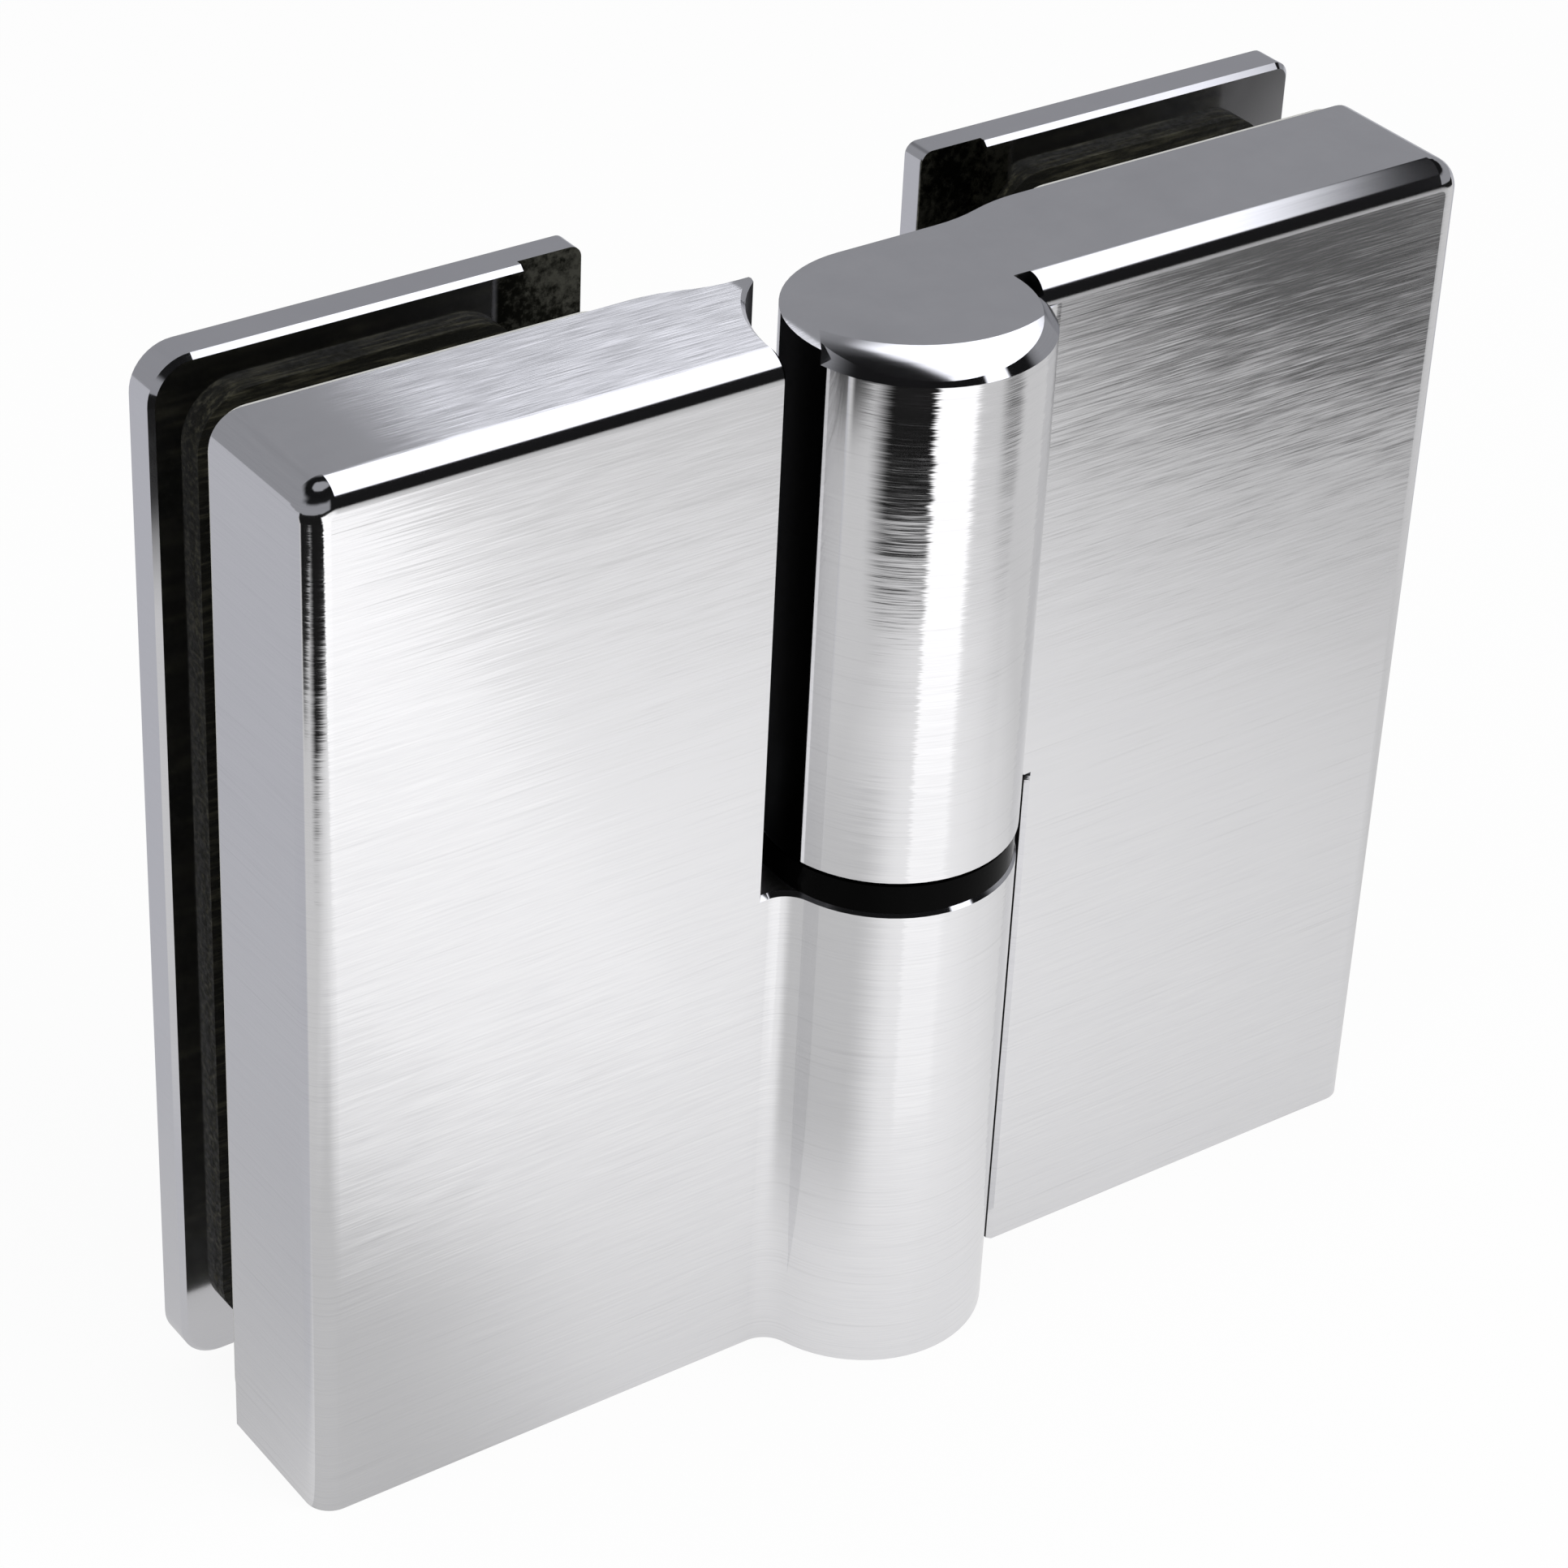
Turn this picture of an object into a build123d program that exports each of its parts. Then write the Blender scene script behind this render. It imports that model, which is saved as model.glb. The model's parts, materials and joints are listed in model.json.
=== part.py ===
from build123d import *
import math
import os

# Glass-to-glass shower door hinge, in millimetres.
# The hinge axis is the Z axis and Z = 0 is the underside.
# -Y is the outer side, with the barrel; +Y is the inner side, with the clamp plates.
# The fixed leaf lies to -X and the door leaf to +X; pieces of a leaf are made on +X.

# Leaf bodies
height = 90.0
leaf_reach = 52.0
body_thickness = 13.0
front_setback = 1.5
barrel_diameter = 20.4
knuckle_gap = 2.5
relief_gap = 2.4
front_edge_radius = 2.1
top_corner_radius = 2.6
root_fillet_radius = 2.5
neck_start = 9.0
neck_end = 17.5
edge_break = 0.35

# Shallow crown on the front of the upper knuckle's top, turned about a centre of its own.
# Lengths are shares of the barrel's radius; angles are in degrees.
crown_center_share = (0.25, 0.52)
crown_start_share = 1.157
crown_width_share = 0.49
crown_drop_share = 0.12
crown_bevel_share = 0.118
crown_end_share = (-0.79, 0.12)
crown_end_bearing = 237.0
crown_crease = 7.0

# Glass clamp
glass_thickness = 6.0
gasket_thickness = 1.2
clamp_plate_thickness = 3.5
clamp_plate_start = 15.6
clamp_plate_inner_corner = 1.0
fixed_plate_corner = 3.5
door_plate_corner = 1.4
clamp_plate_bevel = 0.4
clamp_step_width = 5.6
clamp_step_depth = 0.9
front_gasket_inset = 0.6
front_gasket_corner = 3.0
rear_gasket_inset = 3.0
rear_gasket_corner = 4.5

# Clamp screws, countersunk with a hex socket, and the sleeves round them
screw_diameter = 5.0
screw_head_diameter = 10.0
screw_head_recess = 0.2
screw_hex = 3.0
screw_hex_depth = 2.0
screw_engagement = 9.0
screw_tip_gap = 0.6
screw_spacing = 50.0
screw_reach = 33.0
sleeve_diameter = 12.0

# Pivot
pin_diameter = 10.0
pin_floor = 8.0
pin_end_gap = 2.0
bush_wall = 1.5
bush_length = 14.0
ring_inset = 0.2
grub_diameter = 5.0
grub_hex = 2.5
grub_hex_depth = 2.2
grub_height = 14.0
grub_recess = 0.6

# Clearances
running_clearance = 0.05
fit_clearance = 0.02
hole_clearance = 0.2
thrust_clearance = 0.1

# Sizes that follow from the ones above
barrel_radius = barrel_diameter / 2
relief_radius = barrel_radius + relief_gap
front_y = -front_setback
back_y = front_y + body_thickness
plate_y = back_y + glass_thickness + 2 * gasket_thickness
plate_back_y = plate_y + clamp_plate_thickness
lower_knuckle_top = (height - knuckle_gap) / 2
upper_knuckle_base = (height + knuckle_gap) / 2
bore_top = height - pin_floor
pin_radius = pin_diameter / 2
bush_radius = pin_radius + bush_wall
screw_places = [(screw_reach, height / 2 - screw_spacing / 2), (screw_reach, height / 2 + screw_spacing / 2)]

FROM_BASE = (Align.CENTER, Align.CENTER, Align.MIN)
TOUCHING = 1e-3


def along_y(shape, x, y, z):
    """Stand a shape made along +Z on the point given, along +Y."""
    return Pos(x, y, z) * Rot(-90, 0, 0) * shape


def slab(start_x, end_x, start_y, end_y, inset, corner):
    """Upright plate with rounded corners, inset from the top and underside of the leaf."""
    outline = Plane.XZ * RectangleRounded(end_x - start_x, height - 2 * inset, corner)
    return Pos((start_x + end_x) / 2, start_y, height / 2) * extrude(outline, start_y - end_y)


def tube(outer_radius, inner_radius, base, length):
    """Round sleeve about the Z axis."""
    ring = Cylinder(outer_radius, length, align=FROM_BASE) - Cylinder(inner_radius, length, align=FROM_BASE)
    return Pos(0, 0, base) * ring


def root_fillet_points():
    """Where the fillet between barrel and front face leaves the front face, and where it meets the barrel."""
    center_y = front_y - root_fillet_radius
    reach = barrel_radius + root_fillet_radius
    center_x = math.sqrt(reach**2 - center_y**2)
    share = barrel_radius / reach
    return (center_x, front_y), (center_x * share, center_y * share)


def neck_back():
    """Back of a leaf from the outer end to the barrel: flat, an S-bend, then tangent to the barrel."""
    middle = ((neck_start + neck_end) / 2, (back_y + barrel_radius) / 2)
    return [
        Line((leaf_reach, back_y), (neck_end, back_y)),
        TangentArc((neck_end, back_y), middle, tangent=(-1, 0)),
        TangentArc((neck_start, barrel_radius), middle, tangent=(1, 0)),
        Line((neck_start, barrel_radius), (0, barrel_radius)),
    ]


def plate_plan():
    """Plan of a leaf plate, from the hinge axis out."""
    front = Polyline((0, barrel_radius), (0, front_y), (leaf_reach, front_y), (leaf_reach, back_y))
    return make_face(front.edges() + [edge.edge() for edge in neck_back()])


def knuckle_plan():
    """Plan of a leaf with its barrel."""
    fillet_start, fillet_end = root_fillet_points()
    front = Polyline((leaf_reach, back_y), (leaf_reach, front_y), fillet_start)
    root = TangentArc(fillet_start, fillet_end, tangent=(-1, 0))
    barrel = ThreePointArc(fillet_end, (-barrel_radius, 0), (0, barrel_radius))
    return make_face(front.edges() + [root.edge(), barrel.edge()] + [edge.edge() for edge in neck_back()])


def rounded_plate():
    """Full-height leaf plate: rounded front edges and top corner, sharp underside."""
    plate = extrude(plate_plan(), height)
    corner = plate.edges().filter_by(Axis.Y).group_by(Axis.X)[-1].sort_by(Axis.Z)[-1]
    plate = fillet(corner, top_corner_radius)
    face = plate.faces().filter_by(Axis.Y).sort_by(Axis.Y)[0]
    outline = face.edges().group_by(Axis.X)[1:]
    rounded = [edge for group in outline for edge in group if edge.center().Z > height / 4]
    return fillet(rounded, front_edge_radius)


def crown_front():
    """Prism over the part of a knuckle's top that is crowned, from a straight end on the left to the root."""
    left_x, left_y = (share * barrel_radius for share in crown_end_share)
    reach = 4 * barrel_radius
    bearing = math.radians(crown_end_bearing)
    root_y = front_y + front_edge_radius
    outline = Polyline(
        (left_x, left_y),
        (left_x + reach * math.cos(bearing), left_y + reach * math.sin(bearing)),
        (reach, -reach),
        (reach, root_y),
        (0, root_y),
        close=True,
    )
    return extrude(make_face(outline.edges()), 2 * height)


def crown_cutter():
    """Turned cutter that slopes the front of a knuckle's top, with a bevel round the rim, kept to the barrel."""
    start_radius = crown_start_share * barrel_radius
    end_radius = start_radius + crown_width_share * barrel_radius
    start = (start_radius, 0)
    end = (end_radius, -crown_drop_share * barrel_radius)
    slope = TangentArc(start, end, tangent=(1, -math.tan(math.radians(crown_crease))))
    sides = Polyline(end, (end_radius, height), (start_radius, height), start)
    profile = make_face([slope.edge()] + sides.edges())
    center_x, center_y = (share * barrel_radius for share in crown_center_share)
    crown = Pos(center_x, center_y, height) * revolve(Plane.XZ * profile, Axis.Z)
    bevel_width = crown_bevel_share * barrel_radius
    cone = Cone(barrel_radius, barrel_radius - 2 * bevel_width, 2 * bevel_width, align=FROM_BASE)
    ring = Cylinder(barrel_radius + edge_break, 2 * bevel_width, align=FROM_BASE) - cone
    barrel = Cylinder(barrel_radius + edge_break, 4 * height)
    return ((crown & barrel) + Pos(0, 0, height - bevel_width) * ring) & crown_front()


def root_cutter():
    """Cutter that carries the rounding of the plate's front edge past the root, on to the barrel."""
    root_end, barrel_end = root_fillet_points()
    low = (front_y, height - front_edge_radius)
    high = (front_y + front_edge_radius, height)
    rounding = TangentArc(low, high, tangent=(0, 1))
    sides = Polyline(high, (high[0], 2 * height), (-height, 2 * height), (-height, low[1]), low)
    profile = make_face([rounding.edge()] + sides.edges())
    length = root_end[0] - barrel_end[0]
    return Pos(barrel_end[0], 0, 0) * extrude(Plane.YZ * profile, length) - Cylinder(barrel_radius, 4 * height)


def at_height(edge, z):
    """Whether an edge lies in the level plane at z."""
    return all(abs(edge.position_at(share).Z - z) < TOUCHING for share in (0, 0.5, 1))


def round_axis(edge, radius):
    """Whether an edge lies on the cylinder of this radius about the hinge axis."""
    points = [edge.position_at(share) for share in (0, 0.5, 1)]
    return all(abs(math.hypot(point.X, point.Y) - radius) < TOUCHING for point in points)


def break_edges(body, inner_end):
    """Break the rim of a knuckle's inner end and the edges of the relief."""
    broken = []
    for edge in body.edges():
        on_relief = round_axis(edge, relief_radius)
        if at_height(edge, inner_end):
            if not on_relief:
                broken.append(edge)
        elif on_relief and not at_height(edge, 0):
            broken.append(edge)
    return chamfer(broken, edge_break)


def leaf_body(knuckle_base, knuckle_top):
    """Leaf plate with one knuckle, relieved round the other leaf's knuckle, and tapped for its clamp screws."""
    joint_x = root_fillet_points()[0][0]
    knuckle_length = knuckle_top - knuckle_base
    knuckle_end = Pos(joint_x, 0, knuckle_base) * Box(
        4 * relief_radius, 4 * relief_radius, knuckle_length, align=(Align.MAX, Align.CENTER, Align.MIN)
    )
    knuckle = extrude(knuckle_plan(), height) & knuckle_end
    inner_end = knuckle_base if knuckle_base > 0 else knuckle_top
    relief_base = 0 if knuckle_base > 0 else knuckle_top
    relief = Pos(0, 0, relief_base) * Cylinder(relief_radius, height - knuckle_length, align=FROM_BASE)
    plate = rounded_plate() - knuckle_end - relief
    tapping = Cylinder(screw_diameter / 2 + fit_clearance, screw_engagement + screw_tip_gap, align=FROM_BASE)
    body = break_edges(plate + knuckle, inner_end)
    if knuckle_top == height:
        body -= root_cutter()
        body -= crown_cutter()
    for x, z in screw_places:
        body -= along_y(tapping, x, back_y - screw_engagement - screw_tip_gap, z)
    return body


def fixed_leaf_body():
    """Leaf with the lower knuckle, bored for the pin and tapped for its grub screw."""
    body = mirror(leaf_body(0, lower_knuckle_top), about=Plane.YZ)
    body -= Pos(0, 0, pin_floor) * Cylinder(pin_radius + fit_clearance, height, align=FROM_BASE)
    tapping = Cylinder(grub_diameter / 2 + fit_clearance, barrel_diameter, align=FROM_BASE)
    return body - along_y(tapping, 0, 0, grub_height)


def door_leaf_body():
    """Leaf with the upper knuckle, bored for the pin's bushes and closed at the top."""
    bore = Cylinder(bush_radius + fit_clearance, bore_top, align=FROM_BASE)
    return leaf_body(upper_knuckle_base, height) - bore


def clamp_plate(outer_corner):
    """Rear plate with a relieved strip beside the hinge and countersunk holes for the screws."""
    plate = Pos(clamp_plate_start, plate_y, 0) * Box(
        leaf_reach - clamp_plate_start, clamp_plate_thickness, height, align=(Align.MIN, Align.MIN, Align.MIN)
    )
    inner = plate.edges().filter_by(Axis.Y).group_by(Axis.X)[0]
    plate = fillet(inner, clamp_plate_inner_corner)
    outer = plate.edges().filter_by(Axis.Y).group_by(Axis.X)[-1]
    plate = fillet(outer, outer_corner)
    outline = plate.faces().filter_by(Axis.Y).edges()
    plate = chamfer(outline, clamp_plate_bevel)
    strip = Pos(clamp_plate_start, plate_y, height / 2) * Box(
        2 * clamp_step_width, 2 * clamp_step_depth, 2 * height
    )
    plate -= strip
    head_top = screw_head_diameter / 2 + screw_head_recess + running_clearance
    shank = screw_diameter / 2 + hole_clearance
    sink = Cone(shank, head_top, head_top - shank, align=FROM_BASE)
    hole = Cylinder(shank, clamp_plate_thickness, align=FROM_BASE)
    for x, z in screw_places:
        plate -= along_y(hole, x, plate_y, z)
        plate -= along_y(sink, x, plate_back_y - (head_top - shank), z)
    return plate


def gasket(start_x, start_y, inset, corner):
    """Flat rubber pad with a clear hole for each clamp screw."""
    pad = slab(start_x, leaf_reach - inset, start_y, start_y + gasket_thickness, inset, corner)
    hole = Cylinder(screw_diameter / 2 + hole_clearance, gasket_thickness, align=FROM_BASE)
    for x, z in screw_places:
        pad -= along_y(hole, x, start_y, z)
    return pad


def front_gasket():
    """Pad between the leaf body and the glass."""
    return gasket(neck_end + front_gasket_inset, back_y, front_gasket_inset, front_gasket_corner)


def rear_gasket():
    """Pad between the glass and the clamp plate, beyond the plate's relieved strip."""
    start_x = clamp_plate_start + clamp_step_width + front_gasket_inset
    return gasket(start_x, plate_y - gasket_thickness, rear_gasket_inset, rear_gasket_corner)


def clamp_screws():
    """Countersunk hex-socket screws, from the tip in the leaf body to the head in the clamp plate."""
    tip_y = back_y - screw_engagement
    length = plate_back_y - screw_head_recess - tip_y
    head_height = (screw_head_diameter - screw_diameter) / 2
    shank = Cylinder(screw_diameter / 2, length, align=FROM_BASE)
    cone = Cone(screw_diameter / 2, screw_head_diameter / 2, head_height, align=FROM_BASE)
    socket = extrude(RegularPolygon(screw_hex / 2, 6, major_radius=False), screw_hex_depth)
    screw = shank + Pos(0, 0, length - head_height) * cone - Pos(0, 0, length - screw_hex_depth) * socket
    return Compound([along_y(screw, x, tip_y, z).solid() for x, z in screw_places])


def screw_sleeves():
    """Sleeves between the gaskets that keep the clamp screws off the edges of the holes in the glass."""
    sleeve = tube(sleeve_diameter / 2, screw_diameter / 2 + hole_clearance, 0, glass_thickness)
    return Compound([along_y(sleeve, x, back_y + gasket_thickness, z).solid() for x, z in screw_places])


def pivot_pin():
    """Plain pin that stands on the floor of the lower bore."""
    return Pos(0, 0, pin_floor) * Cylinder(pin_radius, bore_top - pin_end_gap - pin_floor, align=FROM_BASE)


def pin_grub_screw():
    """Hex-socket set screw that holds the pin in the lower knuckle."""
    tip_y = pin_radius + fit_clearance
    length = barrel_radius - grub_recess - tip_y
    socket = extrude(RegularPolygon(grub_hex / 2, 6, major_radius=False), grub_hex_depth)
    screw = Cylinder(grub_diameter / 2, length, align=FROM_BASE) - Pos(0, 0, length - grub_hex_depth) * socket
    return along_y(screw, 0, tip_y, grub_height)


bush_bore = pin_radius + running_clearance
ring_height = knuckle_gap - thrust_clearance
nodes = {
    "fixed_leaf_body": fixed_leaf_body(),
    "door_leaf_body": door_leaf_body(),
    "pivot_pin": pivot_pin(),
    "pin_grub_screw": pin_grub_screw(),
    "knuckle_ring": tube(barrel_radius - ring_inset, bush_bore, lower_knuckle_top, ring_height),
    "lower_pin_bush": tube(bush_radius, bush_bore, upper_knuckle_base, bush_length),
    "fixed_clamp_plate": mirror(clamp_plate(fixed_plate_corner), about=Plane.YZ),
    "door_clamp_plate": clamp_plate(door_plate_corner),
    "upper_pin_bush": tube(bush_radius, bush_bore, bore_top - pin_end_gap - bush_length, bush_length),
}
clamp_pieces = {
    "front_gasket": front_gasket(),
    "rear_gasket": rear_gasket(),
    "clamp_screws": clamp_screws(),
    "screw_sleeves": screw_sleeves(),
}
for name, piece in clamp_pieces.items():
    nodes["door_" + name] = piece
    nodes["fixed_" + name] = mirror(piece, about=Plane.YZ)

os.makedirs("parts", exist_ok=True)
for name, shape in nodes.items():
    export_step(shape, f"parts/{name}.step")
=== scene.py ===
import json
import math

import bpy
from mathutils import Matrix, Vector


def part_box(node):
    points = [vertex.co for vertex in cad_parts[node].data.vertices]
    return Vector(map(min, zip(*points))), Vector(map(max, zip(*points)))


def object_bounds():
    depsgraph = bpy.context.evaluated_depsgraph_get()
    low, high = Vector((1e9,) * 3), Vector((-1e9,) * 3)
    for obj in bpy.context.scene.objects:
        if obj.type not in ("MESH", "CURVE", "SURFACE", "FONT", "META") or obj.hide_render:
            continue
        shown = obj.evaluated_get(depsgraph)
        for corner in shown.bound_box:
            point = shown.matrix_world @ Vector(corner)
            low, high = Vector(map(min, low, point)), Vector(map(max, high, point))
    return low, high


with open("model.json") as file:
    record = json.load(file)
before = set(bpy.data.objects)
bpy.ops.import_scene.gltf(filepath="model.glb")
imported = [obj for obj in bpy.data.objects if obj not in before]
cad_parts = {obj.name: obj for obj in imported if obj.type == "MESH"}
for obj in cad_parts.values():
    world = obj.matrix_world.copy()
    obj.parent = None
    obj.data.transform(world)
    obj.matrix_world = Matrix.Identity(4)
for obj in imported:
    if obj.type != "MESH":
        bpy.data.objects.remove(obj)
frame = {"nodes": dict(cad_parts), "record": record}
cad_low, cad_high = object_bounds()

MM = 0.001

# Camera, aimed at a point inside the hinge
CAMERA_AIM = (-14.5 * MM, -5.9 * MM, 56.4 * MM)
CAMERA_DISTANCE = 340 * MM
CAMERA_AZIMUTH = math.radians(-36.57)
CAMERA_ELEVATION = math.radians(32.94)
CAMERA_ROLL = math.radians(2.87)
CAMERA_LENS = 105.9
CAMERA_SENSOR = 36.0
CAMERA_SHIFT = (0.00085, 0.0052)

# Studio: sizes, and how bright each part of it looks in the metal (1 is white)
FLOOR_SIZE = 4.0
POOL_MIDDLE = (5 * MM, -62 * MM, 0)
POOL_REACH = 110 * MM
FLOOR_LEVEL = 0.64
POOL_LEVEL = 1.24
FOOT_SHADOW_LEVEL = 0.55
BACK_LEVEL = 0.52
DARK_FLOOR_LEVEL = 0.01
WALL_LEVEL = 0.31
DARK_WALL_LEVEL = 0.01
CEILING_LEVEL = 0.008
ZENITH_LEVEL = 0.35
SOFTBOX_LEVEL = 1.5

# Metal: sizes, roughness, and how far the brushing tilts the surface
RELIEF_RADIUS = 12.6 * MM
SHADE_STRIP_WIDTH = 8.5 * MM
STREAK_WIDTH = 0.1 * MM
STREAK_LENGTH = 5.0 * MM
POLISHED_ROUGHNESS = 0.07
FACE_ROUGHNESS = 0.16
TOP_ROUGHNESS = 0.28
PAINTED_SHADE_ROUGHNESS = 0.5
BARREL_TILT = 0.14
FACE_TILT = 0.26
WAVE_TILT = 0.05
TOP_TILT = 0.5
SIDEWAYS_TILT = 0.16
PLATE_TILT = 0.16


class Graph:
    """Short forms for building the nodes of one material or of the world."""

    def __init__(self, tree):
        self.tree = tree
        tree.nodes.clear()

    def add(self, kind, inputs=None, **settings):
        made = self.tree.nodes.new(kind)
        for name, value in settings.items():
            setattr(made, name, value)
        for socket, value in (inputs or {}).items():
            self.feed(made.inputs[socket], value)
        return made

    def feed(self, socket, value):
        if isinstance(value, bpy.types.NodeSocket):
            self.tree.links.new(value, socket)
        elif value is not None:
            socket.default_value = value

    def math(self, operation, a, b=None, clamp=False):
        made = self.add("ShaderNodeMath", {0: a}, operation=operation, use_clamp=clamp)
        self.feed(made.inputs[1], b)
        return made.outputs[0]

    def vector(self, operation, a, b=None):
        made = self.add("ShaderNodeVectorMath", {0: a}, operation=operation)
        self.feed(made.inputs[1], b)
        return made.outputs["Value" if operation in ("LENGTH", "DOT_PRODUCT") else "Vector"]

    def split(self, vector):
        return self.add("ShaderNodeSeparateXYZ", {0: vector}).outputs[:]

    def join(self, x=0.0, y=0.0, z=0.0):
        return self.add("ShaderNodeCombineXYZ", {0: x, 1: y, 2: z}).outputs[0]

    def ramp(self, value, low, high, to_low=0.0, to_high=1.0):
        """Smooth change from one value to another between low and high."""
        made = self.add(
            "ShaderNodeMapRange",
            {"Value": value, "From Min": low, "From Max": high, "To Min": to_low, "To Max": to_high},
            interpolation_type="SMOOTHSTEP",
        )
        return made.outputs["Result"]

    def mix(self, factor, a, b):
        made = self.add("ShaderNodeMix", {"Factor": factor, 6: a, 7: b}, data_type="RGBA")
        return made.outputs[2]

    def blend(self, factor, a, b):
        made = self.add("ShaderNodeMix", {"Factor": factor, 2: a, 3: b}, data_type="FLOAT")
        return made.outputs[0]

    def mix_shaders(self, factor, a, b):
        return self.add("ShaderNodeMixShader", {0: factor, 1: a.outputs[0], 2: b.outputs[0]})

    def noise(self, vector, scale, detail=2.0, roughness=0.5):
        made = self.add(
            "ShaderNodeTexNoise",
            {"Vector": vector, "Scale": scale, "Detail": detail, "Roughness": roughness},
        )
        return made.outputs["Fac"]

    def stretched(self, point, x, y, z):
        """Coordinates divided by a size along each axis, for a grain that is longer one way."""
        return self.vector("MULTIPLY", point, (1 / x, 1 / y, 1 / z))


def material(name):
    made = bpy.data.materials.new(name)
    made.use_nodes = True
    return made, Graph(made.node_tree)


def finish_material(graph, shader):
    graph.add("ShaderNodeOutputMaterial", {"Surface": shader})


def tilted_normal(graph, tilt):
    """Surface normal tilted by a vector given in the object's own axes."""
    turned = graph.add(
        "ShaderNodeVectorTransform",
        {0: tilt},
        vector_type="VECTOR",
        convert_from="OBJECT",
        convert_to="WORLD",
    )
    normal = graph.add("ShaderNodeNewGeometry").outputs["Normal"]
    return graph.vector("NORMALIZE", graph.vector("ADD", normal, turned.outputs[0]))


def between(g, value, rise_start, rise_end, fall_start, fall_end):
    """1 between two values, with a smooth rise before and a smooth fall after."""
    rise = g.ramp(value, rise_start, rise_end)
    fall = g.ramp(value, fall_start, fall_end, 1.0, 0.0)
    return g.math("MULTIPLY", rise, fall)


def centred(g, value, middle, reach):
    """A noise value measured from its middle and scaled."""
    return g.math("MULTIPLY", g.math("SUBTRACT", value, middle), reach)


def leaf_metal():
    """Brushed front and barrel, polished edges and ends, and reliefs painted near black as painted
    shade, with a rough finish.
    """
    made, g = material("leaf_metal")
    coordinates = g.add("ShaderNodeTexCoord").outputs
    point = coordinates["Object"]
    px, py = g.split(point)[:2]
    nx, ny, nz = g.split(coordinates["Normal"])

    facing_front = g.ramp(ny, -0.75, -0.45, 1.0, 0.0)
    upright = g.ramp(g.math("ABSOLUTE", nz), 0.02, 0.12, 1.0, 0.0)
    flat_front = g.ramp(ny, -0.99, -0.97, 1.0, 0.0)
    top = g.ramp(nz, 0.988, 0.999)
    from_axis = g.join(px, py)
    inward = g.vector("DOT_PRODUCT", coordinates["Normal"], g.vector("NORMALIZE", from_axis))
    radius = g.vector("LENGTH", from_axis)
    near_axis = g.ramp(radius, RELIEF_RADIUS + 0.2 * MM, RELIEF_RADIUS + 0.6 * MM, 1.0, 0.0)
    # Mask of the reliefs next to the barrel, which are painted near black as painted shade
    shaded_relief = g.math("MULTIPLY", g.ramp(inward, -0.97, -0.9, 1.0, 0.0), near_axis)
    brushed = g.math("MULTIPLY", facing_front, upright)
    brushed_top = g.math("MULTIPLY", top, between(g, px, -50 * MM, -36 * MM, -10 * MM, -9 * MM))

    fine = g.noise(g.stretched(point, STREAK_LENGTH, STREAK_LENGTH, STREAK_WIDTH), 1.0, 3.0, 0.6)
    coarse = g.noise(g.stretched(point, 30 * MM, 30 * MM, 1.6 * MM), 1.0, 2.0)
    along_top = g.noise(g.stretched(point, STREAK_LENGTH, STREAK_WIDTH, 1.0), 1.0, 3.0, 0.6)
    sideways = g.noise(g.stretched(point, 2 * STREAK_LENGTH, 2 * STREAK_LENGTH, STREAK_WIDTH), 1.0, 2.0)
    streak_tilt = g.math("MULTIPLY", brushed, g.blend(flat_front, BARREL_TILT, FACE_TILT))
    side_tilt = centred(g, fine, 0.5, streak_tilt)
    wave_tilt = centred(g, coarse, 0.5, g.math("MULTIPLY", brushed, WAVE_TILT))
    lean = g.ramp(py, 0.0, 11 * MM, 0.70, 0.67)
    top_tilt = centred(g, along_top, lean, g.math("MULTIPLY", brushed_top, TOP_TILT))
    turn = centred(g, sideways, 0.5, g.math("MULTIPLY", brushed, SIDEWAYS_TILT))
    tilt = g.join(
        g.math("MULTIPLY", ny, turn),
        g.math("SUBTRACT", top_tilt, g.math("MULTIPLY", nx, turn)),
        g.math("ADD", side_tilt, wave_tilt),
    )

    roughness = g.blend(flat_front, POLISHED_ROUGHNESS, FACE_ROUGHNESS)
    roughness = g.blend(brushed_top, roughness, TOP_ROUGHNESS)
    roughness = g.blend(shaded_relief, roughness, PAINTED_SHADE_ROUGHNESS)
    long_streaks = g.noise(g.stretched(point, 14 * MM, 14 * MM, 0.22 * MM), 1.0, 2.0)
    color = g.mix(fine, (0.78, 0.78, 0.80, 1), (0.89, 0.89, 0.90, 1))
    color = g.mix(g.ramp(long_streaks, 0.55, 0.8, 0.0, 0.16), color, (0.5, 0.5, 0.51, 1))
    # Painted shade: the reliefs next to the barrel are coloured near black to stand in for the shade in
    # that recess, and made rough
    color = g.mix(shaded_relief, color, (0.012, 0.012, 0.012, 1))
    shader = g.add(
        "ShaderNodeBsdfPrincipled",
        {
            "Base Color": color,
            "Metallic": 1.0,
            "Roughness": roughness,
            "Anisotropic": 0.75,
            "Tangent": g.join(0.0, 0.02, 1.0),
            "Normal": tilted_normal(g, tilt),
        },
    )
    finish_material(g, shader.outputs[0])
    return made


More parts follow.
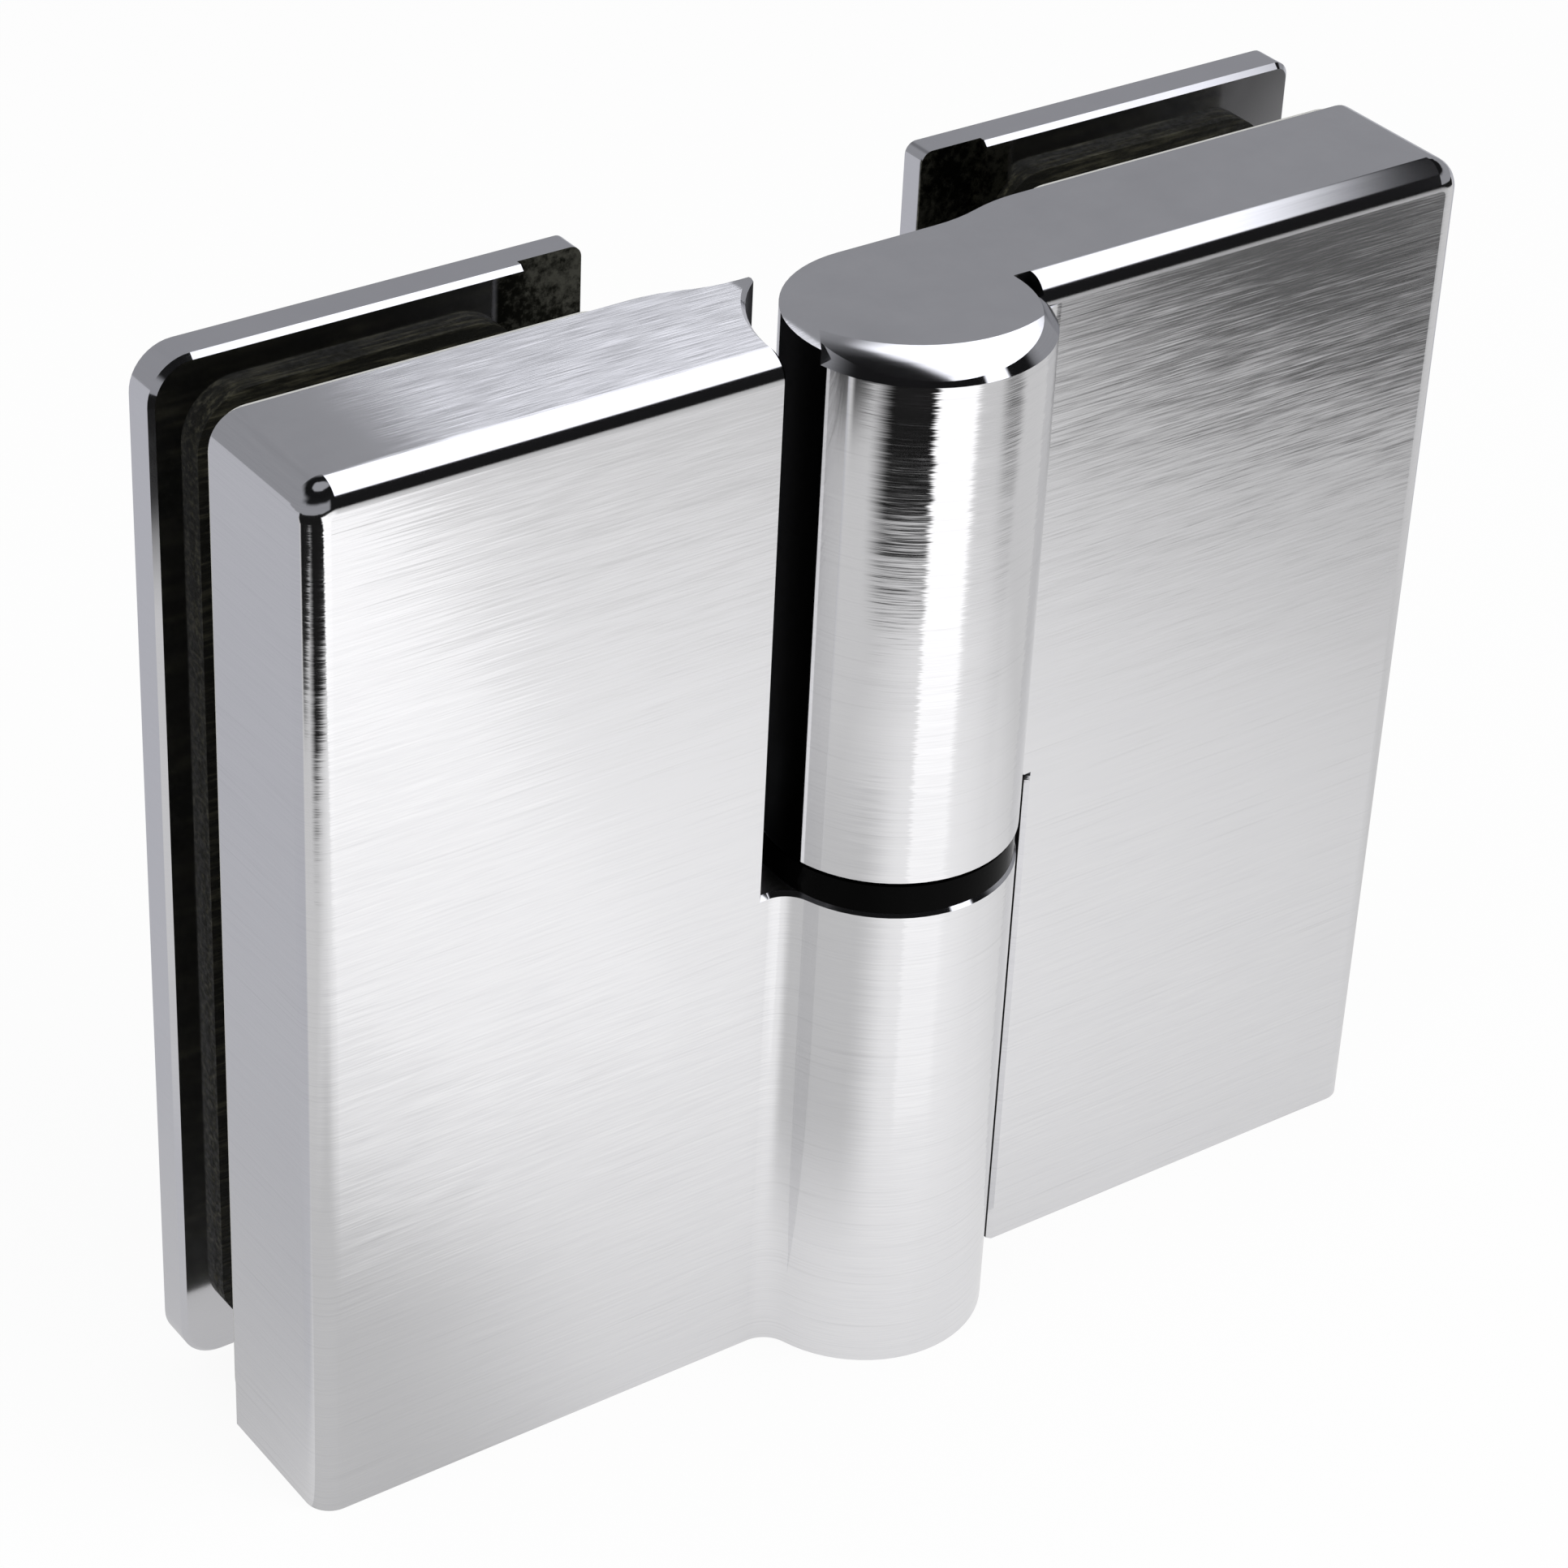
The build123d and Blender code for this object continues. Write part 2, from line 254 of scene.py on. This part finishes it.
def clamp_metal():
    """Polished plates with a brushed back, and a strip next to the hinge painted dark and mottled as
    painted shade, with a rough finish.
    """
    made, g = material("clamp_metal")
    coordinates = g.add("ShaderNodeTexCoord").outputs
    point = coordinates["Object"]
    px, py = g.split(point)[:2]
    ny, nz = g.split(coordinates["Normal"])[1:]
    plate_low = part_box("door_clamp_plate")[0]
    # Painted shade: a strip of the plate next to the hinge is coloured dark and mottled to stand in for
    # the shade in the slot between the plates, and made rough
    shade_strip_end = plate_low.x + SHADE_STRIP_WIDTH
    painted_shade_strip = g.math(
        "MULTIPLY",
        g.ramp(g.math("ABSOLUTE", px), shade_strip_end - 0.8 * MM, shade_strip_end, 1.0, 0.0),
        g.ramp(py, plate_low.y + 1.0 * MM, plate_low.y + 1.2 * MM, 1.0, 0.0),
    )
    painted_shade_strip = g.math("MULTIPLY", painted_shade_strip, g.ramp(nz, 0.3, 0.5, 1.0, 0.0))
    brushed = g.ramp(ny, 0.9, 0.99)
    fine = g.noise(g.stretched(point, STREAK_LENGTH, STREAK_LENGTH, STREAK_WIDTH), 1.0, 3.0, 0.6)
    smears = g.noise(point, 1 / (9 * MM), 3.0)
    tilt = centred(g, fine, 0.5, g.math("MULTIPLY", brushed, PLATE_TILT))
    polished = g.ramp(smears, 0.3, 0.7, 0.08, 0.14)
    grain = g.noise(point, 1 / (0.7 * MM), 4.0, 0.65)
    mottle = g.ramp(g.blend(0.5, grain, smears), 0.42, 0.60)
    painted_shade_color = g.mix(mottle, (0.015, 0.015, 0.010, 1), (0.17, 0.168, 0.13, 1))
    color = g.mix(fine, (0.80, 0.80, 0.83, 1), (0.86, 0.86, 0.88, 1))
    roughness = g.blend(brushed, polished, 0.3)
    shader = g.add(
        "ShaderNodeBsdfPrincipled",
        {
            "Base Color": g.mix(painted_shade_strip, color, painted_shade_color),
            "Metallic": 1.0,
            "Roughness": g.blend(painted_shade_strip, roughness, PAINTED_SHADE_ROUGHNESS),
            "Normal": tilted_normal(g, g.join(0.0, 0.0, tilt)),
        },
    )
    finish_material(g, shader.outputs[0])
    return made


def turned_steel(name, color, roughness, mark_size):
    """Bright machined steel with fine turning marks."""
    made, g = material(name)
    point = g.add("ShaderNodeTexCoord").outputs["Object"]
    marks = g.noise(point, 1 / mark_size, 4.0, 0.7)
    low = (*[0.85 * c for c in color], 1)
    shader = g.add(
        "ShaderNodeBsdfPrincipled",
        {
            "Base Color": g.mix(marks, low, (*color, 1)),
            "Metallic": 1.0,
            "Roughness": g.ramp(marks, 0.3, 0.7, roughness, roughness + 0.12),
        },
    )
    finish_material(g, shader.outputs[0])
    return made


def gasket_rubber():
    """Dark rubber with a fibrous face, and a pale line along the front gasket's rim painted as a
    highlight.
    """
    made, g = material("gasket_rubber")
    coordinates = g.add("ShaderNodeTexCoord").outputs
    point = coordinates["Object"]
    py = g.split(point)[1]
    ny = g.split(coordinates["Normal"])[1]
    fibres = g.noise(g.stretched(point, 5 * MM, 0.5 * MM, 0.5 * MM), 1.0, 4.0, 0.7)
    specks = g.noise(point, 1 / (0.5 * MM), 2.0)
    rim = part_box("door_front_gasket")[1].y
    # Painted highlight: a pale line along the rim of the front gasket stands in for a bright edge
    # highlight
    painted_rim_highlight = between(g, py, rim - 0.35 * MM, rim - 0.2 * MM, rim + MM, rim + 2 * MM)
    painted_rim_highlight = g.math("MULTIPLY", painted_rim_highlight, g.ramp(g.math("ABSOLUTE", ny), 0.3, 0.6, 1.0, 0.0))
    height = g.math("ADD", fibres, g.math("MULTIPLY", specks, 0.5))
    bump = g.add("ShaderNodeBump", {"Strength": 0.6, "Distance": 0.15 * MM, "Height": height})
    color = g.mix(g.ramp(fibres, 0.45, 0.75), (0.012, 0.012, 0.009, 1), (0.08, 0.076, 0.05, 1))
    shader = g.add(
        "ShaderNodeBsdfPrincipled",
        {
            "Base Color": g.mix(painted_rim_highlight, color, (0.75, 0.75, 0.72, 1)),
            "Roughness": g.ramp(specks, 0.3, 0.7, 0.5, 0.75),
            "Normal": bump.outputs[0],
        },
    )
    finish_material(g, shader.outputs[0])
    return made


def moulded_plastic(name, dark, light, roughness, specular=0.5):
    """Moulded plastic with faint mottling and a slightly uneven skin."""
    made, g = material(name)
    point = g.add("ShaderNodeTexCoord").outputs["Object"]
    mottle = g.noise(point, 1 / (2 * MM), 3.0)
    skin = g.noise(point, 1 / (0.4 * MM), 2.0)
    bump = g.add("ShaderNodeBump", {"Strength": 0.15, "Distance": 0.05 * MM, "Height": skin})
    shader = g.add(
        "ShaderNodeBsdfPrincipled",
        {
            "Base Color": g.mix(mottle, (*dark, 1), (*light, 1)),
            "Roughness": g.ramp(skin, 0.3, 0.7, roughness, roughness + 0.1),
            "Specular IOR Level": specular,
            "Normal": bump.outputs[0],
        },
    )
    finish_material(g, shader.outputs[0])
    return made


def dress_nodes():
    """Give each CAD node the material of its slot in the record."""
    black, soft_black = (0.001, 0.001, 0.001), (0.002, 0.002, 0.002)
    dark_grey, grey = (0.018, 0.018, 0.018), (0.035, 0.035, 0.034)
    ivory, pale_ivory = (0.76, 0.76, 0.72), (0.84, 0.84, 0.81)
    finishes = {
        "leaf_metal": leaf_metal(),
        "clamp_metal": clamp_metal(),
        "screw_steel": turned_steel("screw_steel", (0.66, 0.66, 0.68), 0.16, 0.5 * MM),
        "pin_steel": turned_steel("pin_steel", (0.6, 0.6, 0.62), 0.22, 0.8 * MM),
        "gasket_rubber": gasket_rubber(),
        "ring_plastic": moulded_plastic("ring_plastic", black, soft_black, 0.1, specular=0.03),
        "bush_plastic": moulded_plastic("bush_plastic", ivory, pale_ivory, 0.4),
        "sleeve_plastic": moulded_plastic("sleeve_plastic", dark_grey, grey, 0.5),
    }
    for part in frame["record"]["subparts"]:
        mesh = frame["nodes"][part["node"]].data
        mesh.materials.clear()
        mesh.materials.append(finishes[part["material_slot"]])


def add_floor():
    """White floor with the object's shadow, and light and dark fields painted on it that glow only for
    reflected rays, so the metal shows them: a painted pool of light, painted shadow close to the foot
    and to the left of the hinge, and dark fields.

    Bearings are in degrees about the hinge axis: 0 is +X and -90 is straight out from the front.
    """
    bpy.ops.mesh.primitive_plane_add(size=FLOOR_SIZE, location=(0, 0, cad_low.z))
    floor = bpy.context.object
    floor.name = "floor"
    made, g = material("floor_paper")
    path = g.add("ShaderNodeLightPath").outputs
    point = g.add("ShaderNodeTexCoord").outputs["Object"]
    px, py = g.split(point)[:2]
    distance = g.vector("LENGTH", point)
    bearing = g.math("MULTIPLY", g.math("ARCTAN2", py, px), 180 / math.pi)

    # Painted pool of light: the floor in front of the hinge glows brighter for reflected rays
    off_middle = g.vector("LENGTH", g.vector("SUBTRACT", point, POOL_MIDDLE))
    pool = g.math("SUBTRACT", 1.0, g.math("DIVIDE", off_middle, POOL_REACH), clamp=True)
    band_start = g.ramp(distance, 15 * MM, 50 * MM)
    front_band = g.math("MULTIPLY", between(g, bearing, -112, -107, -78, -71), band_start)
    level = g.blend(g.math("MAXIMUM", pool, front_band), FLOOR_LEVEL, POOL_LEVEL)
    # Painted shadow: the floor close to the foot, towards the front left, glows less for reflected
    # rays, standing in for the hinge's contact shadow
    near = between(g, distance, 20 * MM, 45 * MM, 80 * MM, 110 * MM)
    painted_foot_shadow = g.math("MULTIPLY", g.ramp(bearing, -150, -118, 1.0, 0.0), near)
    level = g.blend(painted_foot_shadow, level, FOOT_SHADOW_LEVEL)
    # Painted shadow: the floor to the left of the hinge glows less for reflected rays, standing in for
    # the hinge's shadow
    painted_hinge_shadow = g.math("MULTIPLY", g.ramp(px, -75 * MM, -45 * MM, 1.0, 0.0), g.ramp(py, -2 * MM, 8 * MM))
    behind = g.ramp(py, 20 * MM, 60 * MM)
    back = g.math("MAXIMUM", painted_hinge_shadow, behind)
    level = g.blend(back, level, BACK_LEVEL)

    camera_side = between(g, bearing, -163, -143, -112, -107)
    camera_dark = g.math("MULTIPLY", camera_side, g.ramp(distance, 128 * MM, 150 * MM))
    right_dark = g.math(
        "MULTIPLY",
        between(g, bearing, -56, -44, -38, -24),
        between(g, distance, 150 * MM, 194 * MM, 260 * MM, 280 * MM),
    )
    left_side = g.ramp(px, -176 * MM, -160 * MM, 1.0, 0.0)
    left_dark = g.math("MULTIPLY", left_side, g.ramp(py, -15 * MM, 0.0, 1.0, 0.0))
    far_off = g.ramp(distance, 380 * MM, 420 * MM)
    far_dark = g.math("MULTIPLY", far_off, g.ramp(py, -20 * MM, 20 * MM, 1.0, 0.0))
    dark = g.math("MAXIMUM", camera_dark, right_dark)
    dark = g.math("MAXIMUM", dark, left_dark)
    dark = g.math("MAXIMUM", dark, far_dark)
    level = g.blend(dark, level, DARK_FLOOR_LEVEL)
    round_foot = g.ramp(distance, 60 * MM, 140 * MM, 0.35, 0.0)
    shaded = g.math("MULTIPLY", g.math("SUBTRACT", 1.0, dark), round_foot)
    tint = g.mix(back, (1.0, 0.995, 0.995, 1), (0.93, 0.935, 1.0, 1))
    glow = g.add("ShaderNodeEmission", {"Color": tint, "Strength": level})
    paper = g.add("ShaderNodeBsdfDiffuse", {"Color": (0.9, 0.9, 0.9, 1)})
    white = g.add("ShaderNodeEmission", {"Color": (1, 1, 1, 1), "Strength": 1.03})
    seen = g.mix_shaders(0.9, paper, white)
    mirrored = g.mix_shaders(shaded, glow, paper)
    lit = g.mix_shaders(path["Is Glossy Ray"], paper, mirrored)
    result = g.mix_shaders(path["Is Camera Ray"], lit, seen)
    finish_material(g, result.outputs[0])
    floor.data.materials.append(made)


def light_world():
    """White to the camera, even light on the object, and a studio that the metal reflects.

    Places in the studio are given by the parts dx, dy and dz of the direction to them.
    """
    world = bpy.data.worlds.new("studio")
    world.use_nodes = True
    bpy.context.scene.world = world
    g = Graph(world.node_tree)
    path = g.add("ShaderNodeLightPath").outputs
    dx, dy, dz = g.split(g.add("ShaderNodeTexCoord").outputs["Generated"])
    front = g.ramp(dy, -0.35, 0.25, 1.0, 0.0)
    dark_part = g.math("MAXIMUM", between(g, dx, 0.10, 0.25, 0.64, 0.70), g.ramp(dz, 0.35, 0.55))
    walls = g.blend(g.math("MULTIPLY", front, dark_part), WALL_LEVEL, DARK_WALL_LEVEL)
    ceiling = g.ramp(dz, 0.62, 0.80)
    right_corner = g.math("MULTIPLY", g.ramp(dx, 0.60, 0.64), g.ramp(dz, 0.45, 0.52))
    walls = g.blend(g.math("MAXIMUM", ceiling, right_corner), walls, CEILING_LEVEL)
    walls = g.blend(g.ramp(dz, 0.93, 0.96), walls, ZENITH_LEVEL)
    softbox = between(g, dx, 0.37, 0.41, 0.60, 0.64)
    softbox = g.math("MULTIPLY", softbox, between(g, dy, -0.74, -0.69, 0.57, 0.62))
    softbox = g.math("MULTIPLY", softbox, between(g, dz, 0.50, 0.57, 0.925, 0.945))
    level = g.blend(softbox, walls, SOFTBOX_LEVEL)
    studio = g.add("ShaderNodeBackground", {"Color": (0.93, 0.94, 1.0, 1), "Strength": level})
    even = g.add("ShaderNodeBackground", {"Color": (1, 1, 1, 1), "Strength": 0.4})
    white = g.add("ShaderNodeBackground", {"Color": (1, 1, 1, 1), "Strength": 1.0})
    lit = g.mix_shaders(path["Is Glossy Ray"], even, studio)
    result = g.mix_shaders(path["Is Camera Ray"], lit, white)
    g.add("ShaderNodeOutputWorld", {"Surface": result.outputs[0]})


def add_softbox(name, location, aim, size, power):
    data = bpy.data.lights.new(name, "AREA")
    data.energy = power
    data.shape = "RECTANGLE"
    data.size, data.size_y = size
    lamp = bpy.data.objects.new(name, data)
    bpy.context.scene.collection.objects.link(lamp)
    lamp.visible_glossy = False
    lamp.location = location
    lamp.rotation_euler = (Vector(aim) - Vector(location)).to_track_quat("-Z", "Y").to_euler()


def add_camera():
    data = bpy.data.cameras.new("camera")
    data.lens = CAMERA_LENS
    data.sensor_width = CAMERA_SENSOR
    data.shift_x, data.shift_y = CAMERA_SHIFT
    data.clip_start, data.clip_end = 0.01, 20.0
    camera = bpy.data.objects.new("camera", data)
    bpy.context.scene.collection.objects.link(camera)
    turn = (
        Matrix.Rotation(CAMERA_AZIMUTH, 4, "Z")
        @ Matrix.Rotation(math.pi / 2 - CAMERA_ELEVATION, 4, "X")
        @ Matrix.Rotation(CAMERA_ROLL, 4, "Z")
    )
    back = turn.to_3x3() @ Vector((0, 0, 1))
    camera.matrix_world = Matrix.Translation(Vector(CAMERA_AIM) + back * CAMERA_DISTANCE) @ turn
    bpy.context.scene.camera = camera


dress_nodes()
add_floor()
light_world()
add_softbox("key", (0.15, -0.35, 0.6), (0, 0, 0.04), (0.5, 0.5), 1.8)
add_softbox("fill", (-0.5, -0.1, 0.45), (0, 0, 0.04), (0.4, 0.4), 0.6)
add_camera()
bpy.context.scene.view_settings.view_transform = "Standard"
